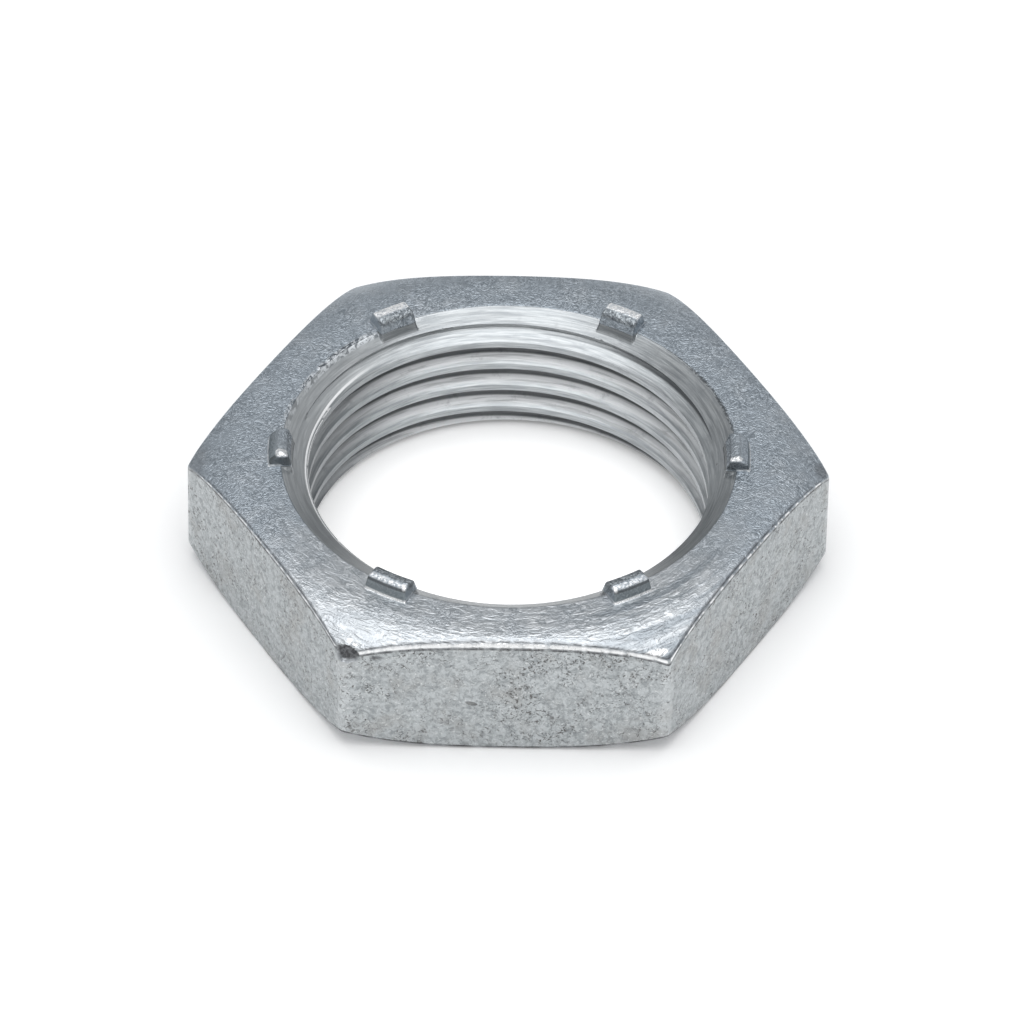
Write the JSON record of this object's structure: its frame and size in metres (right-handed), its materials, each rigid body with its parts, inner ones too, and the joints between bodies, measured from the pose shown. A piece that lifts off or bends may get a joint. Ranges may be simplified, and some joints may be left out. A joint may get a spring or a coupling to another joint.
{
  "type": "lock nut",
  "caption": "Flat hexagon lock nut with a fine tapped bore and short locking nibs standing round the bore's rim on one face, in dull grey zinc-plated steel.",
  "frame": {"origin": "thread axis in the plane of the lower bearing face", "axes": "+Z along the thread axis towards the face with the nibs, +X towards a corner of the hexagon, so that two flats face +Y and -Y"},
  "size_m": [0.0476, 0.0412, 0.0117],
  "materials": {
    "zinc_plate": "tumbled zinc plate, dull on the faces and bright in the thread"
  },
  "bodies": {
    "root": {"lock_nut": "zinc_plate"}
  },
  "joints": []
}
